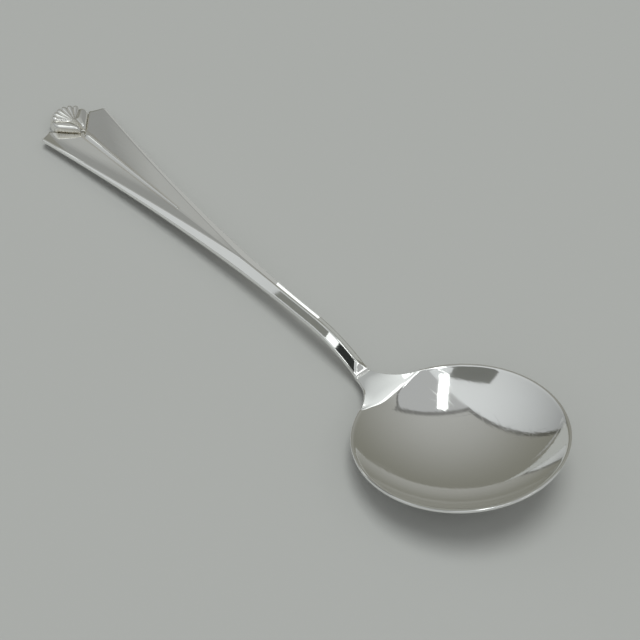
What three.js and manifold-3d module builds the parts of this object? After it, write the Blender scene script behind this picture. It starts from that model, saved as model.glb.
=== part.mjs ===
// Jam spoon in silver plate: a round tilted bowl, a ridged stem that flares into a fluted blade,
// a raised rib down the middle of the blade and a fan set in a notch at its end.
// It lies on its back as it would on a table: +X towards the bowl, +Z up, millimetres.
import * as THREE from 'three';
import { mergeVertices } from 'three/addons/utils/BufferGeometryUtils.js';
import Module from 'manifold-3d';

// Driving sizes of the whole spoon
const TOTAL_LENGTH = 145.4;
const BOWL_WIDTH = 42;
const BOWL_DEPTH = 9.2;
const RIM_TILT = THREE.MathUtils.degToRad(14.5);
const REST_FLAT_DEPTH = 0.15;

// Bowl: wall, rim and the shoulder that carries the stem
const BOWL_WALL = 1.2;
const RIM_FLAT = 0.9;
const RIM_EDGE = 0.4;
const NECK_WIDTH = 3.3;
const NECK_DEPTH = 2.2;
const SHOULDER_FILLET = 10;
const JOINT_LEAD = 2.2;

// Handle: side view, plan and section
const BLADE_RISE = THREE.MathUtils.degToRad(2.75);
const TIP_EDGE_HEIGHT = 2.3;
const NECK_BEND_LENGTH = 15;
const BLADE_END_WIDTH = 17.6;
const FLARE_LENGTH = 74;
const FLARE_POWER = 1.75;
const TIP_THICKNESS = 2.55;
const SIDE_EDGE = 0.45;
const RIDGE_HEIGHT = 1.05;
const RIDGE_WIDTH = 0.3;
const HIP_LENGTH = 2.4;

// Fluted panel of the blade
const PANEL_LENGTH = 56;
const PANEL_CREST = 0.88;
const PANEL_BORDER = 0.4;
const BORDER_POWER = 1.5;
const FLUTE_DEPTH = 0.35;
const SEAT_DEPTH = 0.2;

// Raised rib between the two flutes
const RIB_LENGTH = 32;
const RIB_WIDTH = 1.8;
const RIB_POINT_WIDTH = 0.5;
const RIB_HEIGHT = 0.6;
const RIB_POINT_HEIGHT = 0.22;
const RIB_SIDE = 0.1;

// Fan at the end of the blade
const FAN_RADIUS = 4.7;
const FAN_APEX_TO_ARC = 5.1;
const FAN_HALF_ANGLE = THREE.MathUtils.degToRad(44);
const FAN_RAYS = 6;
const PETAL_SHARE = 1.6;
const FAN_LEDGE_DEPTH = 0.9;
const RAY_GROOVE_DEPTH = 0.5;
const RAY_EYE_HEIGHT = 0.6;
const RAY_HEIGHT = 1.6;
const PETAL_HEIGHT = 1.35;
const FAN_SCALLOP = 0.06;
const FAN_EYE = 0.14;
const FAN_EYE_HEIGHT = 0.6;
const FAN_END_ROUND = 0.16;
const FLANK_END_WIDTH = 11;
const FLANK_SLOPE = 1.7;
const FIT_GAP = 0.3;

// Fineness of the faceted surfaces
const TURN_STEPS = 72;
const ARC_STEPS = 12;
const STATION_STEP = 2.5;
const FLUTE_STEPS = 4;
const BACK_STEPS = 5;
const RIB_ARC_STEPS = 4;
const RAY_STEPS = 6;
const FAN_ROWS = 10;

// Past every face that a cutter has to clear
const CUT_MARGIN = 20;

// Sizes of the bowl that follow
const BOWL_RADIUS = BOWL_WIDTH / 2;
const NECK_HALF = NECK_WIDTH / 2;
const capRadius = (halfWidth, depth) => (halfWidth ** 2 + depth ** 2) / (2 * depth);
const OUTER_CAP = capRadius(BOWL_RADIUS, BOWL_DEPTH - RIM_EDGE);
const HOLLOW_RADIUS = BOWL_RADIUS - RIM_FLAT;
const HOLLOW_DEPTH = BOWL_DEPTH - BOWL_WALL;
const INNER_CAP = capRadius(HOLLOW_RADIUS, HOLLOW_DEPTH);
const BOWL_X = TOTAL_LENGTH / 2 - BOWL_RADIUS * Math.cos(RIM_TILT) - RIM_EDGE * Math.sin(RIM_TILT);
const BOWL_Z = OUTER_CAP - (OUTER_CAP - BOWL_DEPTH) * Math.cos(RIM_TILT) - REST_FLAT_DEPTH;
const FILLET_Y = NECK_HALF + SHOULDER_FILLET;
const FILLET_X = Math.sqrt((BOWL_RADIUS + SHOULDER_FILLET) ** 2 - FILLET_Y ** 2);
const SHOULDER_START = BOWL_RADIUS * FILLET_X / (BOWL_RADIUS + SHOULDER_FILLET);
const JOINT_REACH = FILLET_X - JOINT_LEAD;
const JOINT_X = BOWL_X - JOINT_REACH * Math.cos(RIM_TILT);
const rimPlane = (x) => BOWL_Z + (x - BOWL_X) * Math.tan(RIM_TILT);

// Half width of the shoulder at a reach from the bowl's axis: two fillets let the stem into the round
const shoulderHalf = (reach) => FILLET_Y
  - Math.sqrt(SHOULDER_FILLET ** 2 - Math.max(0, FILLET_X - reach) ** 2);
const SHOULDER_HALF = shoulderHalf(SHOULDER_START);

// Fan and blade-end places that follow
const FAN_TIP_X = -TOTAL_LENGTH / 2;
const FAN_APEX_X = FAN_TIP_X + FAN_APEX_TO_ARC + FAN_RADIUS;
const fanReach = (angle) => FAN_APEX_TO_ARC * Math.cos(angle)
  + Math.sqrt(FAN_RADIUS ** 2 - (FAN_APEX_TO_ARC * Math.sin(angle)) ** 2);
const FLANK_INNER_X = FAN_APEX_X - FLANK_END_WIDTH / 2 / Math.tan(FAN_HALF_ANGLE);
const FLANK_OUTER_X = FLANK_INNER_X + FLANK_SLOPE;

// Handle curves that follow: top edge, half width and thickness at a place along X
const bladeLine = (x) => TIP_EDGE_HEIGHT + (x - FLANK_OUTER_X) * Math.tan(BLADE_RISE);
const NECK_DROP = bladeLine(JOINT_X) - rimPlane(JOINT_X);
const share = (value, from, to) => THREE.MathUtils.clamp((value - from) / (to - from), 0, 1);
const neckShare = (x) => share(x, JOINT_X - NECK_BEND_LENGTH, JOINT_X);
const edgeTop = (x) => bladeLine(x) - NECK_DROP * neckShare(x) ** 2;
const flareShare = (x) => Math.max(0, (FLANK_OUTER_X + FLARE_LENGTH - x) / FLARE_LENGTH);
const stemHalf = (x) => shoulderHalf((BOWL_X - x) / Math.cos(RIM_TILT));
const handleHalf = (x) => stemHalf(x) + (BLADE_END_WIDTH / 2 - NECK_HALF) * flareShare(x) ** FLARE_POWER;
const thickness = (x) => THREE.MathUtils.lerp(
  TIP_THICKNESS, NECK_DEPTH / Math.cos(RIM_TILT), share(x, FLANK_OUTER_X, JOINT_X));
const sideEdge = (x) => THREE.MathUtils.lerp(
  SIDE_EDGE, SIDE_EDGE / Math.cos(RIM_TILT), share(x, FLANK_OUTER_X, JOINT_X));
const hipShare = (x) => share(x, JOINT_X, JOINT_X - HIP_LENGTH);

// Panel curves that follow: the border line's place and height, and the strip that carries the rib
const PANEL_START_X = FLANK_OUTER_X + PANEL_LENGTH;
const POCKET_APEX_X = FAN_APEX_X + FIT_GAP / Math.sin(FAN_HALF_ANGLE);
const RIB_END_X = FAN_APEX_X + RIB_LENGTH;
const BORDER_START = handleHalf(PANEL_START_X) - RIDGE_WIDTH / 2;
const borderFall = (x) => (1 - share(x, PANEL_START_X, FLANK_OUTER_X)) ** BORDER_POWER;
const borderWidth = (x) => (x < PANEL_START_X
  ? THREE.MathUtils.lerp(PANEL_BORDER, BORDER_START, borderFall(x))
  : handleHalf(x) - RIDGE_WIDTH / 2);
const panelHalf = (x) => handleHalf(x) - borderWidth(x);
const crest = (x) => THREE.MathUtils.lerp(
  PANEL_CREST, RIDGE_HEIGHT, share(x, PANEL_START_X, JOINT_X - HIP_LENGTH));
const borderHeight = (x) => (x < PANEL_START_X
  ? PANEL_CREST * borderWidth(x) / BORDER_START
  : crest(x) * hipShare(x));
const ribShare = (x) => share(x, FAN_APEX_X, RIB_END_X);
const ribHalf = (x) => THREE.MathUtils.lerp(RIB_WIDTH, RIB_POINT_WIDTH, ribShare(x)) / 2;
const seatHalf = (x) => Math.min(ribHalf(x), panelHalf(x) / 2);
const seatHeight = (x) => THREE.MathUtils.lerp(
  -SEAT_DEPTH, borderHeight(x), share(x, RIB_END_X, PANEL_START_X));

const wasm = await Module();
wasm.setup();

// Turns a closed geometry into a solid, without the slivers that meet at a pole
function solidOf(geometry) {
  const bare = new THREE.BufferGeometry();
  bare.setAttribute('position', geometry.getAttribute('position'));
  bare.setIndex(geometry.getIndex());
  const merged = mergeVertices(bare);
  const index = Array.from(merged.getIndex().array);
  const kept = [];
  for (let i = 0; i < index.length; i += 3) {
    const [a, b, c] = index.slice(i, i + 3);
    if (a !== b && b !== c && c !== a) kept.push(a, b, c);
  }
  const vertProperties = new Float32Array(merged.getAttribute('position').array);
  return new wasm.Manifold(new wasm.Mesh({ numProp: 3, vertProperties, triVerts: new Uint32Array(kept) }));
}

// Turns a solid back into a geometry
function geometryOf(solid) {
  const { vertProperties, triVerts } = solid.getMesh();
  const geometry = new THREE.BufferGeometry();
  geometry.setAttribute('position', new THREE.BufferAttribute(new Float32Array(vertProperties), 3));
  geometry.setIndex(new THREE.BufferAttribute(new Uint32Array(triVerts), 1));
  geometry.computeVertexNormals();
  return geometry;
}

// Skins a row of sections into one closed body: each section lists its top from -Y to +Y, then its
// underside back again, with as many points
function skin(sections) {
  const count = sections[0].length;
  const index = [];
  const quad = (a, b, c, d) => index.push(a, b, c, a, c, d);
  for (let row = 0; row + 1 < sections.length; row += 1) {
    for (let i = 0; i < count; i += 1) {
      const next = (i + 1) % count;
      quad(row * count + i, row * count + next, (row + 1) * count + next, (row + 1) * count + i);
    }
  }
  const last = (sections.length - 1) * count;
  for (let i = 0; i + 1 < count / 2; i += 1) {
    const under = count - 1 - i;
    quad(i, under, under - 1, i + 1);
    quad(last + i, last + i + 1, last + under - 1, last + under);
  }
  const geometry = new THREE.BufferGeometry();
  geometry.setAttribute('position', new THREE.Float32BufferAttribute(sections.flat(2), 3));
  geometry.setIndex(index);
  return geometry;
}

// Upright prism over a plan outline, between two heights
function prism(outline, low, high) {
  const shape = new THREE.Shape(outline.map(([x, y]) => new THREE.Vector2(x, y)));
  const geometry = new THREE.ExtrudeGeometry(shape, { depth: high - low, bevelEnabled: false });
  return geometry.translate(0, 0, low);
}

// Rectangular cutter for everything past a plane
const block = (x0, x1, z0, z1) => prism(
  [[x0, -BOWL_WIDTH], [x1, -BOWL_WIDTH], [x1, BOWL_WIDTH], [x0, BOWL_WIDTH]], z0, z1);

// Body of revolution about +Z from a profile of [radius, height] points
function turned(profile) {
  const points = profile.map(([radius, height]) => new THREE.Vector2(radius, height));
  return new THREE.LatheGeometry(points, TURN_STEPS).rotateX(Math.PI / 2);
}

// Arc of a spherical cap from its lowest point on the axis out to its rim
function capArc(radius, halfWidth, depth) {
  const sweep = Math.asin(halfWidth / radius);
  return Array.from({ length: ARC_STEPS + 1 }, (_, i) => {
    const angle = sweep * i / ARC_STEPS;
    return [radius * Math.sin(angle), radius - depth - radius * Math.cos(angle)];
  });
}

// Rounded back of a section from its middle out: thin at the side edge, full depth in the middle
function roundedBack(half, edge, depth, count) {
  return Array.from({ length: count }, (_, i) => {
    const t = i / (count - 1);
    return [half * t, -edge - (depth - edge) * (1 - t ** 2)];
  });
}

// Shoulder: a flat-topped tongue whose rounded back thins from the stem's edge to the rim's
function shoulder() {
  const reaches = Array.from({ length: ARC_STEPS + 1 }, (_, i) => THREE.MathUtils.lerp(
    SHOULDER_START, FILLET_X, i / ARC_STEPS));
  const sections = reaches.map((reach) => {
    const half = shoulderHalf(reach);
    const edge = THREE.MathUtils.lerp(SIDE_EDGE, RIM_EDGE, share(half, NECK_HALF, SHOULDER_HALF));
    return shoulderSection(reach, half, edge);
  });
  return skin([shoulderSection(HOLLOW_RADIUS / 2, NECK_HALF, SIDE_EDGE), ...sections]);
}

// Section of the shoulder at a reach from the bowl's axis: level on top, rounded underneath
function shoulderSection(reach, half, edge) {
  const under = roundedBack(half, edge, NECK_DEPTH, BACK_STEPS);
  return section(-reach, 0, under.map(([y]) => [y, 0]), under);
}

// Bowl: a dished cap with an upright rim edge, hollowed, with the shoulder for the stem
function bowl() {
  const rimTop = [[BOWL_RADIUS, 0], [0, 0]];
  const cap = solidOf(turned([...capArc(OUTER_CAP, BOWL_RADIUS, BOWL_DEPTH), ...rimTop]));
  const hollowTop = [[HOLLOW_RADIUS, CUT_MARGIN], [0, CUT_MARGIN]];
  const hollow = solidOf(turned([...capArc(INNER_CAP, HOLLOW_RADIUS, HOLLOW_DEPTH), ...hollowTop]));
  const whole = geometryOf(cap.add(solidOf(shoulder())).subtract(hollow));
  whole.rotateY(-RIM_TILT).translate(BOWL_X, 0, BOWL_Z);
  const pastJoint = solidOf(block(JOINT_X - CUT_MARGIN, JOINT_X, -CUT_MARGIN, CUT_MARGIN));
  const belowTable = solidOf(block(-TOTAL_LENGTH, TOTAL_LENGTH, -CUT_MARGIN, 0));
  return geometryOf(solidOf(whole).subtract(pastJoint).subtract(belowTable));
}

// Top of the handle's section from its middle out: rib seat, flute, border line and outer edge
function handleTop(x) {
  const sag = FLUTE_DEPTH * share(x, PANEL_START_X, RIB_END_X);
  const points = [[0, seatHeight(x)]];
  for (let i = 0; i <= FLUTE_STEPS; i += 1) {
    const t = i / FLUTE_STEPS;
    const chord = THREE.MathUtils.lerp(seatHeight(x), borderHeight(x), t);
    const bow = 1 - (2 * t - 1) ** 2;
    points.push([THREE.MathUtils.lerp(seatHalf(x), panelHalf(x), t), chord - sag * bow]);
  }
  points.push([handleHalf(x), 0]);
  return points;
}

// Whole section across the spoon at x, above a base height, from the two halves on its +Y side
function section(x, base, top, under) {
  const both = (half) => [...half.slice(1).reverse().map(([y, z]) => [-y, z]), ...half];
  return [...both(top), ...both(under).reverse()].map(([y, z]) => [x, y, base + z]);
}

// Places along the spoon between marks, from the bowl's end to the fan's, close enough for its curves
function stations(marks) {
  const sorted = [...marks].sort((a, b) => b - a);
  const places = [sorted[0]];
  for (let i = 0; i + 1 < sorted.length; i += 1) {
    const steps = Math.ceil((sorted[i] - sorted[i + 1]) / STATION_STEP);
    for (let k = 1; k <= steps; k += 1) {
      places.push(THREE.MathUtils.lerp(sorted[i], sorted[i + 1], k / steps));
    }
  }
  return places;
}

// Handle: ridged stem and fluted blade, trimmed to its slanted ends and let in for the fan
function handle() {
  const past = FLANK_INNER_X - FLANK_SLOPE;
  const marks = [JOINT_X, JOINT_X - HIP_LENGTH, JOINT_X - NECK_BEND_LENGTH, PANEL_START_X, RIB_END_X, past];
  const whole = solidOf(skin(stations(marks).map((x) => {
    const top = handleTop(x);
    const under = roundedBack(handleHalf(x), sideEdge(x), thickness(x), top.length);
    return section(x, edgeTop(x), top, under);
  })));
  const half = BLADE_END_WIDTH / 2;
  const end = [
    [past - CUT_MARGIN, CUT_MARGIN], [past - CUT_MARGIN, -CUT_MARGIN], [FLANK_OUTER_X, -CUT_MARGIN],
    [FLANK_OUTER_X, -half], [FLANK_INNER_X, -FLANK_END_WIDTH / 2], [FLANK_INNER_X, FLANK_END_WIDTH / 2],
    [FLANK_OUTER_X, half], [FLANK_OUTER_X, CUT_MARGIN],
  ];
  const open = CUT_MARGIN * Math.tan(FAN_HALF_ANGLE);
  const notch = [[0, 0], [-CUT_MARGIN, open], [-CUT_MARGIN, -open]];
  const pocket = prism(notch, -FAN_LEDGE_DEPTH * Math.cos(BLADE_RISE), CUT_MARGIN);
  pocket.rotateY(-BLADE_RISE).translate(POCKET_APEX_X, 0, bladeLine(POCKET_APEX_X));
  const trimmed = whole.subtract(solidOf(prism(end, -CUT_MARGIN, CUT_MARGIN))).subtract(solidOf(pocket));
  const belowTable = solidOf(block(-TOTAL_LENGTH, TOTAL_LENGTH, -CUT_MARGIN, 0));
  return geometryOf(trimmed.subtract(belowTable));
}

// Rib: a tapering rounded strip lying on its flat seat between the flutes
function centreRib() {
  return skin(stations([POCKET_APEX_X, RIB_END_X]).map((x) => {
    const rise = THREE.MathUtils.lerp(RIB_HEIGHT, RIB_POINT_HEIGHT, ribShare(x)) - RIB_SIDE;
    const top = [];
    const under = [];
    for (let i = 0; i <= RIB_ARC_STEPS; i += 1) {
      const angle = Math.PI / 2 * i / RIB_ARC_STEPS;
      top.push([ribHalf(x) * Math.sin(angle), RIB_SIDE + rise * Math.cos(angle)]);
      under.push([ribHalf(x) * Math.sin(angle), 0]);
    }
    return section(x, bladeLine(x) - SEAT_DEPTH, top, under);
  }));
}

// Directions across the fan: broad outer petals along the notch's sides and narrower rays between them,
// each with its place from -1 to 1 across its own ray and its crest's height at a share of the reach
function fanDirections(row) {
  const rayCrest = THREE.MathUtils.lerp(RAY_EYE_HEIGHT, RAY_HEIGHT, row);
  const widths = [PETAL_SHARE, ...Array(FAN_RAYS).fill(1), PETAL_SHARE];
  const unit = 2 * FAN_HALF_ANGLE / (FAN_RAYS + 2 * PETAL_SHARE);
  const found = [];
  let start = -FAN_HALF_ANGLE;
  widths.forEach((width, ray) => {
    const crestHeight = ray === 0 || ray > FAN_RAYS ? PETAL_HEIGHT : rayCrest;
    for (let i = ray === 0 ? 0 : 1; i <= RAY_STEPS; i += 1) {
      found.push([start + width * unit * i / RAY_STEPS, 2 * i / RAY_STEPS - 1, crestHeight]);
    }
    start += width * unit;
  });
  return found;
}

// Fan: a raised boss of rounded rays spreading from the apex of the notch, flat underneath, domed and
// scalloped at the outer arc
function fan() {
  const rows = Array.from({ length: FAN_ROWS + 1 }, (_, i) => FAN_EYE + (1 - FAN_EYE) * i / FAN_ROWS);
  return skin(rows.map((row) => {
    const end = Math.max(0, row - 1 + FAN_END_ROUND) / FAN_END_ROUND;
    const dome = Math.sqrt(1 - end ** 2);
    const grown = THREE.MathUtils.lerp(FAN_EYE_HEIGHT, 1, share(row, FAN_EYE, 2 * FAN_EYE));
    const top = [];
    const under = [];
    for (const [angle, across, crestHeight] of fanDirections(row)) {
      const swell = Math.sqrt(1 - across ** 2);
      const radius = row * fanReach(angle) * (1 - FAN_SCALLOP * (1 - swell) * row);
      const x = FAN_APEX_X - radius * Math.cos(angle);
      const y = radius * Math.sin(angle);
      const full = grown * (crestHeight - RAY_GROOVE_DEPTH * (1 - swell));
      top.push([x, y, bladeLine(x) + THREE.MathUtils.lerp(-FAN_LEDGE_DEPTH / 2, full, dome)]);
      under.push([x, y, bladeLine(x) - FAN_LEDGE_DEPTH]);
    }
    return [...top, ...under.reverse()];
  }));
}

// Polished silver plate, a touch warmer on the struck ornament
const plate = (color, roughness) => new THREE.MeshStandardMaterial({ color, roughness, metalness: 1 });
const BOWL_COLOUR = 0xdededb;
const HANDLE_COLOUR = 0xd8d8d4;
const ORNAMENT_COLOUR = 0xdbd9d2;
const MIRROR = 0.06;
const SATIN = 0.14;

const spoon = new THREE.Group();
function piece(name, geometry, material) {
  const mesh = new THREE.Mesh(geometry, material);
  mesh.name = name;
  spoon.add(mesh);
}
piece('bowl', bowl(), plate(BOWL_COLOUR, MIRROR));
piece('handle', handle(), plate(HANDLE_COLOUR, MIRROR));
piece('centre_rib', centreRib(), plate(ORNAMENT_COLOUR, SATIN));
piece('fan', fan(), plate(ORNAMENT_COLOUR, SATIN));

export default spoon;
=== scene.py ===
import math

import bmesh
import bpy
from mathutils import Matrix, Vector


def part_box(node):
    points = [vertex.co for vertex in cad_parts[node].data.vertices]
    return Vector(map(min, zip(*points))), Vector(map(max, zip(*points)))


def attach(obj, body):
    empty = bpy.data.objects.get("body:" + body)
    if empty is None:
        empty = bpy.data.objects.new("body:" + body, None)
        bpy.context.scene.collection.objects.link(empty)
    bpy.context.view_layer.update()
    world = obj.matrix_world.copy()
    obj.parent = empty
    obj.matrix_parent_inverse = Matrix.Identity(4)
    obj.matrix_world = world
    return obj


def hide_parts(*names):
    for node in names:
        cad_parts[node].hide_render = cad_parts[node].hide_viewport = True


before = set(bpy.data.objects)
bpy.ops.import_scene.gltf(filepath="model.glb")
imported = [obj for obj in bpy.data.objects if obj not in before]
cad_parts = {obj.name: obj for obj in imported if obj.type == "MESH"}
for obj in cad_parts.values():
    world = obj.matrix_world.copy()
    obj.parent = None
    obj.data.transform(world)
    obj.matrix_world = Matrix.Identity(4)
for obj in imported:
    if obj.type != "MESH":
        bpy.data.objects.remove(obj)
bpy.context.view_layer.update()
scene = bpy.context.scene

# Camera
# The bowl's round rim fixes the view: its centre, its tilt towards the stem and where it falls in the
# picture. The camera looks down over the bowl along the spoon and is rolled a little.
MM = 0.001
RIM_TILT = math.radians(14.5)
RIM_EDGE = 0.4 * MM
bowl_low, bowl_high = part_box("bowl")
BOWL_RADIUS = bowl_high.y
BOWL_X = bowl_high.x - BOWL_RADIUS * math.cos(RIM_TILT) - RIM_EDGE * math.sin(RIM_TILT)
BOWL_Z = bowl_high.z - BOWL_RADIUS * math.sin(RIM_TILT)
RIM_CENTRE = Vector((BOWL_X, 0, BOWL_Z))

VIEW_TURN = math.radians(40.9)
VIEW_RISE = math.radians(48.1)
VIEW_ROLL = math.radians(8.1)
VIEW_DEPTH = 322.6 * MM
IMAGE_SIDE = 640
FOCAL_PIXELS = 1700
RIM_PIXEL_X = 460.5
RIM_PIXEL_Y = 433.5
SENSOR_MM = 36
CLIP_NEAR = 10 * MM

level = Vector((math.cos(VIEW_TURN), math.sin(VIEW_TURN), 0))
back = Vector((math.sin(VIEW_TURN), -math.cos(VIEW_TURN), 0)) * math.cos(VIEW_RISE)
back.z = math.sin(VIEW_RISE)
upright = back.cross(level)
right = level * math.cos(VIEW_ROLL) + upright * math.sin(VIEW_ROLL)
up = upright * math.cos(VIEW_ROLL) - level * math.sin(VIEW_ROLL)
aside = (RIM_PIXEL_X - IMAGE_SIDE / 2) / FOCAL_PIXELS
below = (RIM_PIXEL_Y - IMAGE_SIDE / 2) / FOCAL_PIXELS
eye = RIM_CENTRE + (back - right * aside + up * below) * VIEW_DEPTH

camera_data = bpy.data.cameras.new("camera")
camera_data.sensor_width = SENSOR_MM
camera_data.lens = SENSOR_MM * FOCAL_PIXELS / IMAGE_SIDE
camera_data.clip_start = CLIP_NEAR
camera = bpy.data.objects.new("camera", camera_data)
camera.matrix_world = Matrix((right, up, back)).transposed().to_4x4()
camera.location = eye
scene.collection.objects.link(camera)
scene.camera = camera

# Studio
# A plain pale floor under a dome. A broad soft light covers the viewer's side of the dome and stops at a
# sharp edge; the far side is a dim wall that lightens overhead. Strips, a flag and cards around the spoon
# make the light and dark patches that the silver mirrors, and one light overhead makes its shadow.
FLOOR_HALF = 1.5
FLOOR_COLOUR = (0.45, 0.45, 0.435, 1)
FLOOR_ROUGHNESS = 0.8
WALL_LOW_COLOUR = (0.2, 0.2, 0.17, 1)
WALL_HIGH_COLOUR = (0.4, 0.405, 0.39, 1)
WALL_POWER = 1.7
LIGHT_LOW_COLOUR = (0.3, 0.31, 0.31, 1)
LIGHT_HIGH_COLOUR = (0.66, 0.685, 0.69, 1)
RETURN_COLOUR = (0.41, 0.42, 0.42, 1)
LIGHT_EDGE = (0, -1, -0.1)
RETURN_EDGE = (0.68, -0.48, 0.161)
EDGE_SOFTNESS = 0.012
SEAM_PLACE = -0.014
SEAM_WIDTH = 0.03
SEAM_CORE = 0.01
SEAM_SHADE = 0.45
GLOSSY_BOUNCES = 12

scene.view_settings.view_transform = "Standard"
scene.cycles.glossy_bounces = GLOSSY_BOUNCES
world = bpy.data.worlds.new("studio_dome")
world.use_nodes = True
scene.world = world
dome = world.node_tree


def add_node(tree, kind, sockets, **settings):
    """Adds a node with its settings; each socket takes a value, or the output of another node."""
    made = tree.nodes.new(kind)
    for setting, value in settings.items():
        setattr(made, setting, value)
    for socket, value in sockets.items():
        if isinstance(value, bpy.types.NodeSocket):
            tree.links.new(value, made.inputs[socket])
        else:
            made.inputs[socket].default_value = value
    return made


def mix_colours(tree, amount, first, second, blend="MIX"):
    """Colour between two colours, or one multiplied by the other."""
    sockets = {0: amount, 6: first, 7: second}
    return add_node(tree, "ShaderNodeMix", sockets, data_type="RGBA", blend_type=blend).outputs[2]


def mapped(tree, value, start, end, low, high):
    """Value moved from one range to another and held inside it."""
    sockets = {"Value": value, "From Min": start, "From Max": end, "To Min": low, "To Max": high}
    return add_node(tree, "ShaderNodeMapRange", sockets).outputs["Result"]


def calculated(tree, operation, *values):
    """Result of a sum on numbers or on the outputs of other nodes."""
    return add_node(tree, "ShaderNodeMath", dict(enumerate(values)), operation=operation).outputs[0]


def over(edge):
    """How far a direction of the dome lies past an edge, given by the edge's normal."""
    sockets = {0: direction, 1: edge}
    return add_node(dome, "ShaderNodeVectorMath", sockets, operation="DOT_PRODUCT").outputs["Value"]


direction = add_node(dome, "ShaderNodeTexCoord", {}).outputs["Generated"]
raised = add_node(dome, "ShaderNodeSeparateXYZ", {0: direction}).outputs["Z"]
raised = mapped(dome, raised, 0, 1, 0, 1)
steep = calculated(dome, "POWER", raised, WALL_POWER)
over_light = over(LIGHT_EDGE)
over_edge = calculated(dome, "MAXIMUM", over_light, over(RETURN_EDGE))
wall = mix_colours(dome, steep, WALL_LOW_COLOUR, WALL_HIGH_COLOUR)
light = mix_colours(dome, raised, LIGHT_LOW_COLOUR, LIGHT_HIGH_COLOUR)
lit = mix_colours(dome, mapped(dome, over_light, 0, EDGE_SOFTNESS, 0, 1), RETURN_COLOUR, light)
whole = mix_colours(dome, mapped(dome, over_edge, 0, EDGE_SOFTNESS, 0, 1), wall, lit)
off_seam = calculated(dome, "ABSOLUTE", calculated(dome, "SUBTRACT", over_edge, SEAM_PLACE))
seam = mapped(dome, off_seam, SEAM_CORE, SEAM_WIDTH, SEAM_SHADE, 1)
seam = add_node(dome, "ShaderNodeCombineColor", {0: seam, 1: seam, 2: seam}).outputs[0]
dome.links.new(mix_colours(dome, 1, whole, seam, "MULTIPLY"), dome.nodes["Background"].inputs["Color"])

LIGHT_HEIGHT = 4
COOL_WHITE = (0.96, 1.0, 0.99)
STRIP_RADIANCE = 2.6
NEAR_STRIP = ((0.06, -0.045), (0.16, -0.17), (0.04, 0.04))
FAR_STRIP = ((0.745, 0.41), (0.146, -0.162), (0.03, 0.026))
SIDE_STRIP = ((0.474, -0.1), (0.15, 0.165), (-0.021, 0.024))


def over_bowl(x, y):
    """Place at the lights' height over the bowl, off to the side by shares of that height."""
    return RIM_CENTRE + Vector((x, y, 1)) * LIGHT_HEIGHT


def facing_down(half_along, half_across):
    """Frame of a flat rectangle that lies along two directions given as shares of the lights' height."""
    along = Vector((*half_along, 0))
    across = Vector((*half_across, 0))
    along.normalize()
    across = (across - along * across.dot(along)).normalized()
    return Matrix((along, across, along.cross(across))).transposed().to_4x4()


def soft_box(name, centre, half_along, half_across):
    """Flat rectangular light over the bowl, from its middle and its two half sides."""
    data = bpy.data.lights.new(name, "AREA")
    data.shape = "RECTANGLE"
    data.size = 2 * LIGHT_HEIGHT * math.hypot(*half_along)
    data.size_y = 2 * LIGHT_HEIGHT * math.hypot(*half_across)
    data.energy = STRIP_RADIANCE * math.pi * data.size * data.size_y
    data.color = COOL_WHITE
    box = bpy.data.objects.new(name, data)
    box.matrix_world = facing_down(half_along, half_across)
    box.location = over_bowl(*centre)
    box.visible_camera = False
    scene.collection.objects.link(box)


soft_box("near_strip", *NEAR_STRIP)
soft_box("far_strip", *FAR_STRIP)
soft_box("side_strip", *SIDE_STRIP)

OVERHEAD_POWER = 1.3
OVERHEAD_SPREAD = math.radians(30)
OVERHEAD_TILT = math.radians(5)

overhead_data = bpy.data.lights.new("overhead", "SUN")
overhead_data.energy = OVERHEAD_POWER
overhead_data.angle = OVERHEAD_SPREAD
overhead_data.color = COOL_WHITE
overhead = bpy.data.objects.new("overhead", overhead_data)
overhead.rotation_euler.x = OVERHEAD_TILT
overhead.visible_glossy = False
scene.collection.objects.link(overhead)


def plain_material(name, colour, roughness):
    """Matt material for the things that stand around the spoon."""
    material = bpy.data.materials.new(name)
    material.use_nodes = True
    shader = material.node_tree.nodes["Principled BSDF"]
    shader.inputs["Base Color"].default_value = colour
    shader.inputs["Roughness"].default_value = roughness
    return material


def sheet(name, corners, material):
    """One flat four-sided sheet through its corners."""
    bm = bmesh.new()
    bmesh.ops.contextual_create(bm, geom=[bm.verts.new(corner) for corner in corners])
    mesh = bpy.data.meshes.new(name)
    bm.to_mesh(mesh)
    bm.free()
    mesh.materials.append(material)
    thing = bpy.data.objects.new(name, mesh)
    scene.collection.objects.link(thing)
    return thing


FLOOR_CORNERS = ((-1, -1), (1, -1), (1, 1), (-1, 1))
sheet(
    "floor",
    [(FLOOR_HALF * x, FLOOR_HALF * y, 0) for x, y in FLOOR_CORNERS],
    plain_material("floor_paint", FLOOR_COLOUR, FLOOR_ROUGHNESS),
)

FLAG_CORNERS = ((54, -9, 95), (16.3, -33.6, 95), (10.5, -85, 95), (75, -85, 95))
BLOCK_CORNERS = ((9, -14, 30), (17, -14, 30), (17, -23, 30), (9, -23, 30))
NECK_CARD_CORNERS = ((17, -14, 30), (36, -14, 30), (36, -29, 30), (17, -29, 30))
CARD_CORNERS = ((7.3, -17, 35), (-19, -17, 35), (-24, -40, 35), (7.3, -40, 35))
RIDGE_CARD_CORNERS = ((9, 7, 3.5), (-4, 7.2, 3), (-4, 7.2, 6), (9, 7, 6.2))
EDGE_CARD_CORNERS = ((-4, 7.2, 0.5), (-74, 15, 0.5), (-74, 15, 7.5), (-4, 7.2, 7.5))
FAN_CARD_CORNERS = ((-69, -6, 18), (-75, -6, 18), (-75, 6, 18), (-69, 6, 18))
BLADE_CARD_CORNERS = ((-15, 0, 14), (-85, 0, 14), (-85, 32, 14), (-15, 32, 14))
SHOULDER_CARD_CORNERS = ((33.1, 2, 10), (13, 2, 10), (13, 11.5, 10), (33.1, 11.5, 10))
FLAG_COLOUR = (0.4, 0.4, 0.39, 1)
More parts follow.
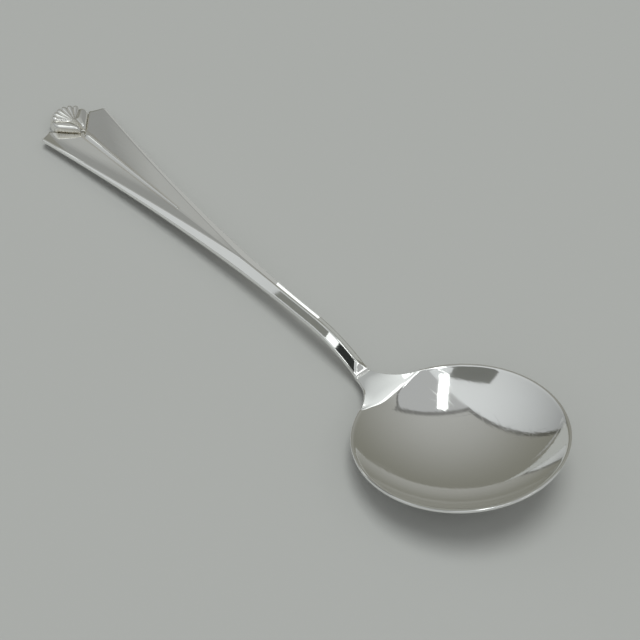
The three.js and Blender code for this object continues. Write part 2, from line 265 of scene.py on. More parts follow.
NECK_CARD_COLOUR = (0.05, 0.055, 0.055, 1)
CARD_COLOUR = (0.52, 0.52, 0.5, 1)
CARD_ROUGHNESS = 0.9
BLACK = (0, 0, 0, 1)
WARM_WHITE = (0.98, 1, 0.97)
WHITE_CARD_GLOW = 1.2
EDGE_CARD_GLOW = 0.45
BLADE_CARD_DIM = 0.28
BLADE_CARD_GLOW = 0.12
BLADE_CARD_FALL = (6.5 * MM, 10.5 * MM)
BLADE_CARD_STEM_FADE = (-15 * MM, -27 * MM)
SHOULDER_CARD_GRADE = (22 * MM, 31 * MM)
SHOULDER_CARD_LOW = 0.4
SHOULDER_CARD_HIGH = 0.82
SHOULDER_CARD_LINE = (31.6 * MM, 32 * MM)
SHOULDER_CARD_LINE_GLOW = 0.6


def glowing_material(name, colour, strength):
    """Pale material that shines by itself."""
    material = plain_material(name, BLACK, 1)
    shader = material.node_tree.nodes["Principled BSDF"]
    shader.inputs["Emission Color"].default_value = (*colour, 1)
    shader.inputs["Emission Strength"].default_value = strength
    return material


def place_on(tree):
    """Outputs of a material's place in the spoon's frame, along each axis."""
    place = add_node(tree, "ShaderNodeTexCoord", {}).outputs["Object"]
    return add_node(tree, "ShaderNodeSeparateXYZ", {0: place}).outputs


def set_glow(tree, strength):
    """Lets a glowing material shine by a strength that changes over it."""
    tree.links.new(strength, tree.nodes["Principled BSDF"].inputs["Emission Strength"])


blade_glow = glowing_material("blade_glow", WARM_WHITE, BLADE_CARD_DIM)
blade_tree = blade_glow.node_tree
blade_place = place_on(blade_tree)
blade_lit = mapped(blade_tree, blade_place["Y"], *BLADE_CARD_FALL, BLADE_CARD_GLOW, 0)
blade_fade = mapped(blade_tree, blade_place["X"], *BLADE_CARD_STEM_FADE, 0, 1)
set_glow(blade_tree, calculated(blade_tree, "MULTIPLY_ADD", blade_lit, blade_fade, BLADE_CARD_DIM))

shoulder_glow = glowing_material("shoulder_glow", COOL_WHITE, SHOULDER_CARD_LOW)
shoulder_tree = shoulder_glow.node_tree
shoulder_place = place_on(shoulder_tree)["X"]
shoulder_lit = mapped(
    shoulder_tree, shoulder_place, *SHOULDER_CARD_GRADE, SHOULDER_CARD_LOW, SHOULDER_CARD_HIGH)
shoulder_line = mapped(shoulder_tree, shoulder_place, *SHOULDER_CARD_LINE, 0, SHOULDER_CARD_LINE_GLOW)
set_glow(shoulder_tree, calculated(shoulder_tree, "ADD", shoulder_lit, shoulder_line))

white_glow = glowing_material("white_glow", COOL_WHITE, WHITE_CARD_GLOW)
edge_glow = glowing_material("edge_glow", WARM_WHITE, EDGE_CARD_GLOW)
flag_cloth = plain_material("flag_cloth", FLAG_COLOUR, CARD_ROUGHNESS)
neck_card_paint = plain_material("neck_card_paint", NECK_CARD_COLOUR, CARD_ROUGHNESS)
card_paint = plain_material("card_paint", CARD_COLOUR, CARD_ROUGHNESS)
for name, corners, material in (
    ("dark_flag", FLAG_CORNERS, flag_cloth),
    ("stem_block", BLOCK_CORNERS, white_glow),
    ("neck_card", NECK_CARD_CORNERS, neck_card_paint),
    ("stem_card", CARD_CORNERS, card_paint),
    ("ridge_card", RIDGE_CARD_CORNERS, white_glow),
    ("edge_card", EDGE_CARD_CORNERS, edge_glow),
    ("fan_card", FAN_CARD_CORNERS, white_glow),
    ("blade_panel", BLADE_CARD_CORNERS, blade_glow),
    ("shoulder_card", SHOULDER_CARD_CORNERS, shoulder_glow),
):
    screen = sheet(name, [Vector(corner) * MM for corner in corners], material)
    screen.visible_camera = False
    screen.visible_diffuse = False
    screen.visible_shadow = False

# Bowl
# A round, shallow dish of silver-plated nickel silver, struck in a die, with a thin rounded rim, tilted up
# towards its tip. At the stem its hollow runs out in a soft roll-over between two fillets, and the stem
# carries on from there.
BOWL_DEPTH = 9.2 * MM
BOWL_WALL = 1.2 * MM
RIM_WALL = 0.55 * MM
RIM_ROUND = 0.26 * MM
EDGE_ROUND = 0.15 * MM
SIDE_EDGE = 0.45 * MM
NECK_WIDTH = 3.3 * MM
NECK_DEPTH = 2.2 * MM
SHOULDER_FILLET = 10 * MM
ROLL_OVER = 1.8 * MM
NECK_WALL = 0.8 * MM
TROUGH_DEPTH = 1.2 * MM
ROLL_OVER_ANGLE = math.radians(20)
LIP_BLEND = 0.2 * MM
KEEL_BLEND = 1.2 * MM
REST_BLEND = 0.04 * MM
SPINE_INNER = 15 * MM
TIP_EASE = 0.012 * MM
FILLET_STEPS = 30
ROUND_STEPS = 120
DISH_STEPS = 34
LIP_STEPS = 6
DISH_CROWDING = 1.7
CAP_LIMIT = 0.98
WELD = 0.0005 * MM


def lerp(a, b, t):
    """Value a share t of the way from a to b."""
    return a + (b - a) * t


def share(value, start, end):
    """Share of the way from start to end, held between 0 and 1."""
    return min(max((value - start) / (end - start), 0), 1)


def ease(t):
    """Share that starts and ends level."""
    return t * t * (3 - 2 * t)


def smooth_min(a, b, blend):
    """Lower of two heights, rounded over where they come within a blend of each other."""
    overlap = max(blend - abs(a - b), 0) / blend
    return min(a, b) - overlap * overlap * blend / 4


def cap_radius(half_width, depth):
    """Radius of the sphere whose cap has that half width and depth."""
    return (half_width ** 2 + depth ** 2) / (2 * depth)


def cap_height(radius, depth, reach):
    """Height over the rim plane of a cap's surface at a reach from its axis."""
    held = min(reach, radius * CAP_LIMIT)
    return radius - depth - math.sqrt(radius ** 2 - held ** 2)


def on_table(point):
    """Point kept on or above the table, with a soft edge to the worn flat."""
    x, y, z = point
    return Vector((x, y, -smooth_min(-z, 0, REST_BLEND) if z < REST_BLEND else z))


JOINT_X = bowl_low.x
OUTLINE_RADIUS = BOWL_RADIUS - TIP_EASE
OUTER_CAP = cap_radius(BOWL_RADIUS, BOWL_DEPTH - RIM_EDGE)
HOLLOW_DEPTH = BOWL_DEPTH - BOWL_WALL
INNER_CAP = cap_radius(BOWL_RADIUS - RIM_WALL, HOLLOW_DEPTH)
NECK_HALF = NECK_WIDTH / 2
FILLET_Y = NECK_HALF + SHOULDER_FILLET
FILLET_X = math.sqrt((BOWL_RADIUS + SHOULDER_FILLET) ** 2 - FILLET_Y ** 2)
SHOULDER_START = BOWL_RADIUS * FILLET_X / (BOWL_RADIUS + SHOULDER_FILLET)
JOINT_REACH = (BOWL_X - JOINT_X) / math.cos(RIM_TILT)


def shoulder_half(along):
    """Half width of the shoulder at a reach from the bowl's axis, let in by the two fillets."""
    inside = max(FILLET_X - along, 0)
    return FILLET_Y - math.sqrt(max(SHOULDER_FILLET ** 2 - inside ** 2, 0))


JOINT_HALF = shoulder_half(JOINT_REACH)
SHOULDER_HALF = shoulder_half(SHOULDER_START)


def bowl_top(u, y):
    """Height of the bowl's upper surface over the rim plane: the hollow, rolled over into the shoulder."""
    reach = math.hypot(u, y)
    turn = math.atan2(abs(y), -u)
    hollow = cap_height(INNER_CAP, HOLLOW_DEPTH, reach)
    blend = lerp(ROLL_OVER, LIP_BLEND, ease(share(turn, 0, ROLL_OVER_ANGLE)))
    across = min(abs(y) / shoulder_half(max(-u, SHOULDER_START)), 1)
    trough = -TROUGH_DEPTH * ease(share(-u, JOINT_REACH, SHOULDER_START)) * (1 - across ** 2)
    return smooth_min(hollow, trough if u < 0 else 0, blend)


def bowl_under(u, y):
    """Height of the bowl's underside: the outer cap, with a keel that deepens into the stem."""
    outer = cap_height(OUTER_CAP, BOWL_DEPTH, math.hypot(u, y))
    if u > -BOWL_RADIUS / 2:
        return outer
    half = shoulder_half(max(-u, SHOULDER_START))
    edge = lerp(SIDE_EDGE, RIM_EDGE, share(half, JOINT_HALF, SHOULDER_HALF))
    across = min(abs(y) / half, 1)
    keel = -edge - (NECK_DEPTH - edge) * (1 - across ** 2)
    wall = lerp(NECK_WALL, edge, across ** 4)
    return min(smooth_min(outer, keel, KEEL_BLEND), bowl_top(u, y) - wall)


def bowl_place(u, y, w):
    """Point of the tilted bowl in the spoon's frame; the stem end is cut square to the table."""
    square = ease(share(-u, BOWL_RADIUS, JOINT_REACH))
    u += w * math.tan(RIM_TILT) * square
    x = BOWL_X + u * math.cos(RIM_TILT) - w * math.sin(RIM_TILT)
    z = BOWL_Z + u * math.sin(RIM_TILT) + w * math.cos(RIM_TILT)
    return on_table((x, y, z))


def bowl_outline():
    """Half outline on the +Y side from the stem to the tip, each point with the spine point it faces."""
    points = []
    first = math.asin((FILLET_X - JOINT_REACH) / SHOULDER_FILLET)
    last = math.asin(FILLET_X / (BOWL_RADIUS + SHOULDER_FILLET))
    for i in range(FILLET_STEPS):
        t = i / FILLET_STEPS
        angle = lerp(first, last, t)
        u = -FILLET_X + SHOULDER_FILLET * math.sin(angle)
        y = FILLET_Y - SHOULDER_FILLET * math.cos(angle)
        points.append((u, y, -lerp(JOINT_REACH, SPINE_INNER, t), lerp(EDGE_ROUND, RIM_ROUND, t)))
    start = math.atan2(FILLET_Y, FILLET_X)
    for i in range(ROUND_STEPS + 1):
        angle = lerp(start, math.pi, i / ROUND_STEPS)
        spine = -SPINE_INNER * (1 - ease(share(angle, start, math.pi / 2)))
        u = -OUTLINE_RADIUS * math.cos(angle)
        points.append((u, OUTLINE_RADIUS * math.sin(angle), spine, RIM_ROUND))
    return points


def bowl_row(u, y, spine, lip, height, side):
    """One row of the bowl's skin from the spine to the middle of its edge, for its top or its underside."""
    outline = Vector((u, y))
    inward = (Vector((spine, 0)) - outline).normalized()
    inset = outline + inward * lip
    row = []
    for i in range(DISH_STEPS + 1):
        t = 1 - (1 - i / DISH_STEPS) ** DISH_CROWDING
        place = Vector((spine, 0)).lerp(inset, t)
        row.append(bowl_place(place.x, place.y, height(place.x, place.y)))
    lip_top = bowl_top(*inset)
    lip_under = bowl_under(*inset)
    drop = min(lip, (lip_top - lip_under) / 2)
    edge = lip_top if side > 0 else lip_under
    for i in range(1, LIP_STEPS + 1):
        angle = math.pi / 2 * i / LIP_STEPS
        place = inset - inward * lip * math.sin(angle)
        row.append(bowl_place(place.x, place.y, edge - side * drop * (1 - math.cos(angle))))
    row.append(bowl_place(u, y, (lip_top + lip_under) / 2))
    return row


def mirrored(row):
    """The same row on the spoon's other side."""
    return [Vector((point.x, -point.y, point.z)) for point in row]


def plate(name, top, under, recess=None):
    """One closed piece between two grids of points, its top and its underside, that share their sides."""
    bm = bmesh.new()
    recessed = bm.verts.layers.float.new("recess")
    skins = []
    for points in (top, under):
        made = bmesh.ops.create_grid(bm, x_segments=len(points[0]) - 1, y_segments=len(points) - 1, size=1)
        for vert, point in zip(made["verts"], [point for row in points for point in row]):
            vert.co = point
        skins.append(made["verts"])
    if recess:
        for vert, amount in zip(skins[0], [amount for row in recess for amount in row]):
            vert[recessed] = amount
    across = len(top[0])
    for rows in (slice(0, across), slice(-across, None)):
        ends = [skin[rows] for skin in skins]
        edges = [bm.edges.get(pair) for end in ends for pair in zip(end, end[1:])]
        bmesh.ops.bridge_loops(bm, edges=edges)
    bmesh.ops.remove_doubles(bm, verts=bm.verts, dist=WELD)
    bmesh.ops.dissolve_degenerate(bm, edges=bm.edges, dist=WELD)
    bmesh.ops.recalc_face_normals(bm, faces=bm.faces)
    for face in bm.faces:
        face.smooth = True
    mesh = bpy.data.meshes.new(name)
    bm.to_mesh(mesh)
    bm.free()
    piece = bpy.data.objects.new(name, mesh)
    scene.collection.objects.link(piece)
    return piece


CLOUD_SCALE = 150
CLOUD_DETAIL = 3
CLOUD_RANGE = (0.3, 0.7)
HAIRLINE_SCALE = 2080
HAIRLINE_DETAIL = 2
HAIRLINE_STRETCH = (0.06, 1, 1)
HAIRLINE_RANGE = (0.35, 0.65)
SCRATCH_TURNS = (0.5, -0.7)
SCRATCH_SCALE = 360
SCRATCH_STRETCH = (0.12, 1, 1)
SCRATCH_WIDTH = 0.012
SCRATCH_DEPTH = 0.000002
SCRATCH_PATCH_SCALE = 120
SCRATCH_PATCH_DETAIL = 1
SCRATCH_PATCH_RANGE = (0.52, 0.62)
POLISHED_ROUGHNESS = 0.025
CLOUDED_ROUGHNESS = 0.07
HAIRLINE_ROUGHNESS = 0.02
SCRATCH_ROUGHNESS = 0.08
RECESS_ROUGHNESS = 0.2
TARNISH_SHARE = 0.55
TARNISH_LEAST = 0.5
TARNISH_FILM = 0.05

wear = bpy.data.node_groups.new("silver_wear", "ShaderNodeTree")
for label, kind in (("Place", "Vector"), ("Recess", "Float"), ("Silver", "Color"), ("Tarnish", "Color")):
    wear.interface.new_socket(label, in_out="INPUT", socket_type="NodeSocket" + kind)
for label, kind in (("Colour", "Color"), ("Roughness", "Float"), ("Height", "Float")):
    wear.interface.new_socket(label, in_out="OUTPUT", socket_type="NodeSocket" + kind)
given = wear.nodes.new("NodeGroupInput").outputs


def wear_noise(place, scale, detail, limits):
    """Soft spots on the silver, with their contrast raised."""
    sockets = {"Vector": place, "Scale": scale, "Detail": detail}
    spots = add_node(wear, "ShaderNodeTexNoise", sockets).outputs["Fac"]
    return mapped(wear, spots, *limits, 0, 1)


def wear_place(place, **sockets):
    """Place on the silver, turned or stretched."""
    return add_node(wear, "ShaderNodeMapping", {"Vector": place, **sockets}).outputs[0]


cloud = wear_noise(given["Place"], CLOUD_SCALE, CLOUD_DETAIL, CLOUD_RANGE)
hair_place = wear_place(given["Place"], Scale=HAIRLINE_STRETCH)
hair = wear_noise(hair_place, HAIRLINE_SCALE, HAIRLINE_DETAIL, HAIRLINE_RANGE)
scratched = 0
for turn in SCRATCH_TURNS:
    turned = wear_place(given["Place"], Rotation=(turn / 2, turn / 3, turn))
    cell_sockets = {"Vector": wear_place(turned, Scale=SCRATCH_STRETCH), "Scale": SCRATCH_SCALE}
    cells = add_node(wear, "ShaderNodeTexVoronoi", cell_sockets, feature="DISTANCE_TO_EDGE")
    lines = mapped(wear, cells.outputs["Distance"], 0, SCRATCH_WIDTH, 1, 0)
    patches = wear_noise(turned, SCRATCH_PATCH_SCALE, SCRATCH_PATCH_DETAIL, SCRATCH_PATCH_RANGE)
    scratched = calculated(wear, "MAXIMUM", scratched, calculated(wear, "MULTIPLY", lines, patches))
dull = mapped(wear, cloud, 0, 1, POLISHED_ROUGHNESS, CLOUDED_ROUGHNESS)
for mark, added in (
    (hair, HAIRLINE_ROUGHNESS),
    (scratched, SCRATCH_ROUGHNESS),
    (given["Recess"], RECESS_ROUGHNESS),
):
    dull = calculated(wear, "MULTIPLY_ADD", mark, added, dull)
stain = mapped(wear, cloud, 0, 1, TARNISH_LEAST, 1)
stain = calculated(wear, "MULTIPLY", given["Recess"], stain)
film = mapped(wear, cloud, 0, 1, 0, TARNISH_FILM)
stain = calculated(wear, "MULTIPLY_ADD", stain, TARNISH_SHARE, film)
relief = calculated(wear, "SUBTRACT", hair, scratched)
tinted = mix_colours(wear, stain, given["Silver"], given["Tarnish"])
put_out = wear.nodes.new("NodeGroupOutput").inputs
for label, value in (("Colour", tinted), ("Roughness", dull), ("Height", relief)):
    wear.links.new(value, put_out[label])


def silver(name, colour, tarnish):
    """Polished silver plate with faint clouding, hairlines, a few scratches and tarnish in its recesses."""
    material = bpy.data.materials.new(name)
    material.use_nodes = True
    tree = material.node_tree
    shader = tree.nodes["Principled BSDF"]
    shader.inputs["Metallic"].default_value = 1
    place = add_node(tree, "ShaderNodeTexCoord", {}).outputs["Object"]
    recess = add_node(tree, "ShaderNodeAttribute", {}, attribute_name="recess").outputs["Fac"]
    worn = add_node(tree, "ShaderNodeGroup", {}, node_tree=wear)
    worn.inputs["Silver"].default_value = colour
    worn.inputs["Tarnish"].default_value = tarnish
    tree.links.new(place, worn.inputs["Place"])
    tree.links.new(recess, worn.inputs["Recess"])
    bump_sockets = {"Height": worn.outputs["Height"], "Distance": SCRATCH_DEPTH, "Strength": 1}
    bump = add_node(tree, "ShaderNodeBump", bump_sockets)
    tree.links.new(worn.outputs["Colour"], shader.inputs["Base Color"])
    tree.links.new(worn.outputs["Roughness"], shader.inputs["Roughness"])
    tree.links.new(bump.outputs["Normal"], shader.inputs["Normal"])
    return material


def finish_piece(piece, node, material):
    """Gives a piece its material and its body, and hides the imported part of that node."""
    piece.data.materials.append(material)
    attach(piece, "root")
    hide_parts(node)


BOWL_SILVER = (0.94, 0.94, 0.925, 1)
BOWL_TARNISH = (0.7, 0.66, 0.56, 1)

half_outline = bowl_outline()
bowl_grids = []
for height, side in ((bowl_top, 1), (bowl_under, -1)):
    rows = [bowl_row(*point, height, side) for point in half_outline]
    bowl_grids.append(rows + [mirrored(row) for row in reversed(rows[:-1])])
bowl = plate("bowl_dish", *bowl_grids)
bowl_silver = silver("bowl_silver", BOWL_SILVER, BOWL_TARNISH)
finish_piece(bowl, "bowl", bowl_silver)

# Handle
# A bar of the same plated metal, struck and trimmed: a roof-shaped stem with a crisp ridge and a hip where
# it meets the bowl, which flares into a blade. There the ridge parts into two border lines with two flutes
# between them.
BLADE_RISE = math.radians(2.75)
TIP_EDGE_HEIGHT = 2.3 * MM
NECK_BEND_LENGTH = 15 * MM
FLARE_LENGTH = 74 * MM
FLARE_POWER = 1.75
TIP_THICKNESS = 2.55 * MM
UNDER_ROUND = 0.25 * MM
RIDGE_HEIGHT = 1.05 * MM
RIDGE_WIDTH = 0.3 * MM
HIP_LENGTH = 2.2 * MM
HIP_POWER = 1.6
HIP_BLEND = 0.2 * MM
PANEL_LENGTH = 56 * MM
PANEL_CREST = 1.05 * MM
PANEL_BORDER = 0.4 * MM
BORDER_POWER = 1.5
FLUTE_SLOPE = 0.25
SEAT_DEPTH = 0.2 * MM
CREASE_BLEND = 0.12 * MM
RIB_LENGTH = 32 * MM
SEAT_RISE_START = 10 * MM
RIB_WIDTH = 1.8 * MM
RIB_POINT_WIDTH = 0.5 * MM
FAN_RADIUS = 4.7 * MM
FAN_APEX_TO_ARC = 5.1 * MM
FAN_HALF_ANGLE = math.radians(44)
FAN_LEDGE_DEPTH = 0.9 * MM
FIT_GAP = 0.3 * MM
FLANK_END_WIDTH = 11 * MM
FLANK_SLOPE = 1.7 * MM
TARNISH_WIDTH = 0.5 * MM
STATION_STEP = 0.5 * MM
LEDGE_STEPS = 3
SEAT_STEPS = 4
FLUTE_STEPS = 18
BEVEL_STEPS = 12
BORDER_CROWDING = 1.5
NOTCH_START = 0.01
CROSSING_ROUNDS = 8
HANDLE_SILVER = (0.93, 0.93, 0.91, 1)
HANDLE_TARNISH = (0.66, 0.61, 0.5, 1)

rib_low, rib_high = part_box("centre_rib")
BLADE_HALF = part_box("handle")[1].y
FAN_APEX_X = rib_low.x - FIT_GAP / math.sin(FAN_HALF_ANGLE)
FLANK_INNER_X = FAN_APEX_X - FLANK_END_WIDTH / 2 / math.tan(FAN_HALF_ANGLE)
FLANK_OUTER_X = FLANK_INNER_X + FLANK_SLOPE
RIB_END_X = FAN_APEX_X + RIB_LENGTH
PANEL_START_X = FLANK_OUTER_X + PANEL_LENGTH


def rim_plane(x):
    """Height of the bowl's rim plane at a place along the spoon."""
    return BOWL_Z + (x - BOWL_X) * math.tan(RIM_TILT)


def blade_line(x):
    """Height of the straight part of the handle's edge."""
    return TIP_EDGE_HEIGHT + (x - FLANK_OUTER_X) * math.tan(BLADE_RISE)


NECK_DROP = blade_line(JOINT_X) - rim_plane(JOINT_X)


def edge_top(x):
    """Height of the handle's upper edge, bent down at the neck to meet the bowl."""
    return blade_line(x) - NECK_DROP * share(x, JOINT_X - NECK_BEND_LENGTH, JOINT_X) ** 2


def handle_half(x):
    """Half width of the handle: the neck's fillet, a straight stem, then the flare."""
    flare = max(0, (FLANK_OUTER_X + FLARE_LENGTH - x) / FLARE_LENGTH) ** FLARE_POWER
    return shoulder_half((BOWL_X - x) / math.cos(RIM_TILT)) + (BLADE_HALF - NECK_HALF) * flare


def handle_thickness(x):
    """Thickness of the handle from its upper edge down."""
    return lerp(TIP_THICKNESS, NECK_DEPTH / math.cos(RIM_TILT), share(x, FLANK_OUTER_X, JOINT_X))


def handle_under(x, y):
    """Depth of the handle's rounded back below its edge line: thin at the sides, full in the middle."""
    edge = SIDE_EDGE * lerp(1, 1 / math.cos(RIM_TILT), share(x, FLANK_OUTER_X, JOINT_X))
    across = min(abs(y) / handle_half(x), 1)
    return edge + (handle_thickness(x) - edge) * (1 - across ** 2)


BORDER_START = handle_half(PANEL_START_X) - RIDGE_WIDTH / 2


def border_width(x):
    """Width of the bevel outside the border line."""
    if x >= PANEL_START_X:
        return handle_half(x) - RIDGE_WIDTH / 2
    fall = (1 - share(x, PANEL_START_X, FLANK_OUTER_X)) ** BORDER_POWER
    return lerp(PANEL_BORDER, BORDER_START, fall)


def panel_half(x):
    """Half width of the panel between the border lines, or of the ridge's narrow top."""
    return handle_half(x) - border_width(x)


def border_height(x):
    """Height of the border line or of the ridge over the handle's edge."""
    if x < PANEL_START_X:
        return PANEL_CREST * border_width(x) / BORDER_START
    return lerp(PANEL_CREST, RIDGE_HEIGHT, share(x, PANEL_START_X, JOINT_X - HIP_LENGTH))


def rib_half(x):
    """Half width of the rib, tapering towards the bowl."""
    return lerp(RIB_WIDTH, RIB_POINT_WIDTH, share(x, FAN_APEX_X, RIB_END_X)) / 2


def seat_half(x):
    """Half width of the flat strip that carries the rib."""
    return min(rib_half(x), panel_half(x) / 2)


def panel_floor(x):
    """Height over the edge line of the strip that carries the rib, rising until it meets the ridge."""
    rise = share(x, FAN_APEX_X + SEAT_RISE_START, PANEL_START_X)
    return lerp(-SEAT_DEPTH, border_height(x), rise)


def handle_top(x, y):
    """Height of the handle's upper surface over its edge line."""
    y = abs(y)
    half = handle_half(x)
    panel = panel_half(x)
    seat = seat_half(x)
    crest = border_height(x)
    floor = panel_floor(x)
    sag = max(FLUTE_SLOPE * (panel - seat) - crest + floor, 0) * ease(share(x, PANEL_START_X, RIB_END_X))
    t = max((y - seat) / (panel - seat), 0)
    flute = lerp(floor, crest, t) - sag * t * (1 - t)
    bevel = crest * (half - y) / (half - panel)
    hip = RIDGE_HEIGHT * (max(JOINT_X - x, 0) / HIP_LENGTH) ** HIP_POWER
    return smooth_min(smooth_min(flute, bevel, CREASE_BLEND), hip, HIP_BLEND)


def handle_recess(x, y):
    """How far a place lies in the corners beside the rib or along the notch, where tarnish stays."""
    beside_rib = abs(abs(y) - rib_half(x)) if x < RIB_END_X else TARNISH_WIDTH
    beside_fan = abs(abs(y) * math.cos(FAN_HALF_ANGLE) - (FAN_APEX_X - x) * math.sin(FAN_HALF_ANGLE))
    return 1 - ease(share(min(beside_rib, beside_fan), 0, TARNISH_WIDTH))


def stations():
    """Places of the handle's cross rows from the bowl to the notch, then down the notch's sides."""
    count = round((JOINT_X - FAN_APEX_X) / STATION_STEP)
    straight = [lerp(JOINT_X, FAN_APEX_X, i / count) for i in range(count + 1)]
    slanted = max(round((FAN_APEX_X - FLANK_INNER_X) / STATION_STEP) * 2, 2)
    rows = [(x, x) for x in straight]
    for i in range(slanted + 1):
        t = max(i / slanted, NOTCH_START)
        inner = lerp(FAN_APEX_X, FLANK_INNER_X, t)
        outer = lerp(FAN_APEX_X, FLANK_OUTER_X, t)
        rows.append((inner, outer))
    return rows


def handle_rows(inner_x, outer_x):
    """Top and underside rows of the handle's +Y half, from its middle out to the middle of its edge."""
    notch = max(FAN_APEX_X - inner_x, 0) * math.tan(FAN_HALF_ANGLE)
    start = Vector((inner_x, notch))
    end = Vector((outer_x, handle_half(outer_x)))
    outward = (end - start).normalized()
    inset = end - outward * EDGE_ROUND

    def crossing(curve):
        """Point of the cross row where it meets a curve of the handle's plan."""
        t = 0.5
        for _ in range(CROSSING_ROUNDS):
            x = lerp(start.x, end.x, t)
            t = share(curve(x), start.y, end.y)
        return start.lerp(end, t)

    seat = crossing(seat_half)
    panel = crossing(panel_half)
    plan = [start.lerp(seat, i / SEAT_STEPS) for i in range(SEAT_STEPS)]
    plan += [seat.lerp(panel, 1 - (1 - i / FLUTE_STEPS) ** BORDER_CROWDING) for i in range(FLUTE_STEPS)]
    plan += [panel.lerp(inset, (i / BEVEL_STEPS) ** BORDER_CROWDING) for i in range(BEVEL_STEPS + 1)]
    ledge = [Vector((inner_x, notch * i / LEDGE_STEPS)) for i in range(LEDGE_STEPS + 1)]

    top = []
    for place in ledge:
        sunk = -FAN_LEDGE_DEPTH if notch > 0 else handle_top(inner_x, 0)
        top.append(Vector((place.x, place.y, edge_top(place.x) + sunk)))
    for place in plan:
        top.append(Vector((place.x, place.y, edge_top(place.x) + handle_top(place.x, place.y))))
    under = []
    for place in ledge + plan:
        under.append(Vector((place.x, place.y, edge_top(place.x) - handle_under(place.x, place.y))))
    upper = top[-1].z
    lower = under[-1].z
    round_under = lerp(UNDER_ROUND, EDGE_ROUND, share(outer_x, JOINT_X - HIP_LENGTH, JOINT_X))
    for i in range(1, LIP_STEPS + 1):
        angle = math.pi / 2 * i / LIP_STEPS
        place = inset + outward * EDGE_ROUND * math.sin(angle)
        top.append(Vector((place.x, place.y, upper - EDGE_ROUND * (1 - math.cos(angle)))))
        under.append(Vector((place.x, place.y, lower + round_under * (1 - math.cos(angle)))))
    middle = Vector((end.x, end.y, (upper + lower) / 2))
    top.append(middle)
    under.append(middle.copy())
    recess = [handle_recess(point.x, point.y) for point in top]
    return [on_table(point) for point in top], [on_table(point) for point in under], recess


handle_grids = [[], [], []]
for inner_x, outer_x in stations():
    top, under, recess = handle_rows(inner_x, outer_x)
    handle_grids[0].append(mirrored(top)[::-1] + top)
    handle_grids[1].append(mirrored(under)[::-1] + under)
    handle_grids[2].append(recess[::-1] + recess)
handle = plate("handle_bar", *handle_grids)
handle_silver = silver("handle_silver", HANDLE_SILVER, HANDLE_TARNISH)
finish_piece(handle, "handle", handle_silver)

# Rib
# A rounded rib of the same silver-plated metal, raised in the same blow as the flutes. It is blunt at the
# fan and dies out along the panel.
RIB_HEIGHT = 0.6 * MM
RIB_POINT_HEIGHT = 0.22 * MM
RIB_NOSE = 0.9 * MM
RIB_SINK = 0.05 * MM
RIB_NOSE_HEIGHT = 0.3
RIB_NOSE_WIDTH = 0.35
RIB_SWELL = 1.2
RIB_STEPS = 60
RIB_CROWDING = 1.4
RIB_ACROSS = 12
ORNAMENT_SILVER = (0.93, 0.925, 0.9, 1)
ORNAMENT_TARNISH = (0.6, 0.55, 0.44, 1)

rib_grids = [[], []]
for i in range(RIB_STEPS + 1):
    x = lerp(rib_low.x, rib_high.x, (i / RIB_STEPS) ** RIB_CROWDING)
    nose = share(x, rib_low.x, rib_low.x + RIB_NOSE)
    blunt = math.sqrt(1 - (1 - nose) ** 2)
    rise = lerp(RIB_HEIGHT, RIB_POINT_HEIGHT, share(x, FAN_APEX_X, RIB_END_X))
    rise *= lerp(RIB_NOSE_HEIGHT, 1, blunt)
    half = rib_half(x) * lerp(RIB_NOSE_WIDTH, 1, blunt)
    base = blade_line(x) + panel_floor(x)
    top = []
    under = []
    for k in range(-RIB_ACROSS, RIB_ACROSS + 1):
        t = k / RIB_ACROSS
        swell = math.cos(t * math.pi / 2) ** RIB_SWELL
        top.append(Vector((x, half * t, base + rise * swell - RIB_SINK * (1 - swell))))
        under.append(Vector((x, half * t, base - RIB_SINK)))
    rib_grids[0].append(top)
    rib_grids[1].append(under)
rib = plate("rib_raised", *rib_grids)
ornament_silver = silver("ornament_silver", ORNAMENT_SILVER, ORNAMENT_TARNISH)
finish_piece(rib, "centre_rib", ornament_silver)

# Fan
# A small shell-like fan of the same plated metal, struck at the end of the blade: six rounded rays spread
# between two broad smooth petals that lie along the notch's sides, all with domed ends along a scalloped
# arc.
FAN_RAYS = 6
PETAL_WIDTH = 1.75 * MM
PETAL_LIMIT = math.radians(35)
RAY_GROOVE_DEPTH = 0.5 * MM
RAY_EYE_HEIGHT = 0.3 * MM
RAY_HEIGHT = 2 * MM
PETAL_HEIGHT = 1.35 * MM
PETAL_START = 0.95 * MM
PETAL_GROWN = 2.3 * MM
FAN_SCALLOP = 0.07
FAN_EYE = 0.14
FAN_END_ROUND = 0.16
FAN_TRIM = 0.994
RAY_STEPS = 14
FAN_ROWS = 44


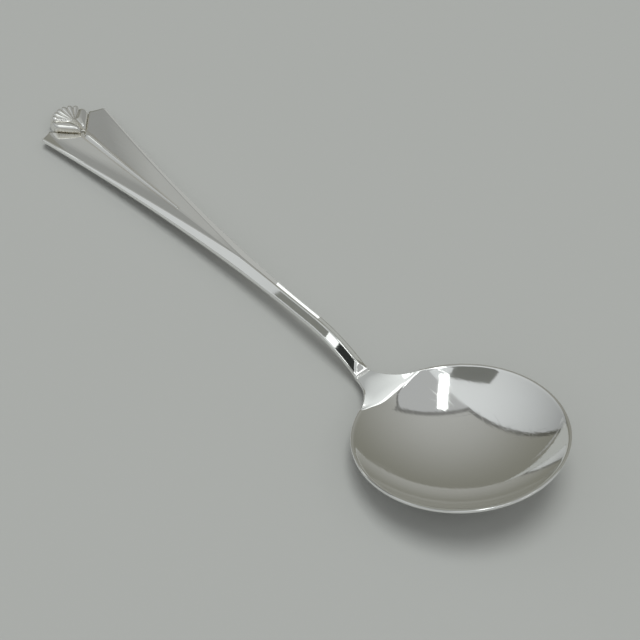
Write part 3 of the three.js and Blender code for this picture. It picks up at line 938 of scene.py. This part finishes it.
def fan_reach(angle):
    """Distance from the fan's apex to its outer arc in a direction."""
    across = FAN_APEX_TO_ARC * math.sin(angle)
    return FAN_TRIM * (FAN_APEX_TO_ARC * math.cos(angle) + math.sqrt(FAN_RADIUS ** 2 - across ** 2))


def fan_directions(row):
    """Directions across the fan at a share of its reach, with the place across each ray and its height."""
    wide = PETAL_WIDTH / (row * fan_reach(FAN_HALF_ANGLE))
    petal = math.asin(min(wide, math.sin(PETAL_LIMIT)))
    ray = 2 * (FAN_HALF_ANGLE - petal) / FAN_RAYS
    rays = [(ray, lerp(RAY_EYE_HEIGHT, RAY_HEIGHT, row))] * FAN_RAYS
    found = []
    start = -FAN_HALF_ANGLE
    for width, crest in [(petal, PETAL_HEIGHT), *rays, (petal, PETAL_HEIGHT)]:
        for k in range(RAY_STEPS):
            found.append((start + width * k / RAY_STEPS, 2 * k / RAY_STEPS - 1, crest))
        start += width
    found.append((FAN_HALF_ANGLE, 1, PETAL_HEIGHT))
    return found


fan_grids = [[], [], []]
for i in range(FAN_ROWS + 1):
    row = lerp(FAN_EYE, 1, i / FAN_ROWS)
    end = max(row - 1 + FAN_END_ROUND, 0) / FAN_END_ROUND
    domed = math.sqrt(max(1 - end ** 2, 0))
    top = []
    under = []
    recess = []
    for angle, across, crest in fan_directions(row):
        swell = math.sqrt(1 - across ** 2)
        distance = row * fan_reach(angle) * (1 - FAN_SCALLOP * (1 - swell) * row)
        x = FAN_APEX_X - distance * math.cos(angle)
        y = distance * math.sin(angle)
        grown = math.sqrt(1 - (1 - share(distance, PETAL_START, PETAL_GROWN)) ** 2)
        rise = grown * (crest - RAY_GROOVE_DEPTH * (1 - swell))
        top.append(Vector((x, y, blade_line(x) + lerp(-FAN_LEDGE_DEPTH / 2, rise, domed))))
        under.append(Vector((x, y, blade_line(x) - FAN_LEDGE_DEPTH)))
        recess.append((1 - swell) ** 2)
    fan_grids[0].append([under[0]] + top + [under[-1]])
    fan_grids[1].append([under[0]] + under + [under[-1]])
    fan_grids[2].append([1] + recess + [1])
fan = plate("fan_shell", *fan_grids)
finish_piece(fan, "fan", ornament_silver)
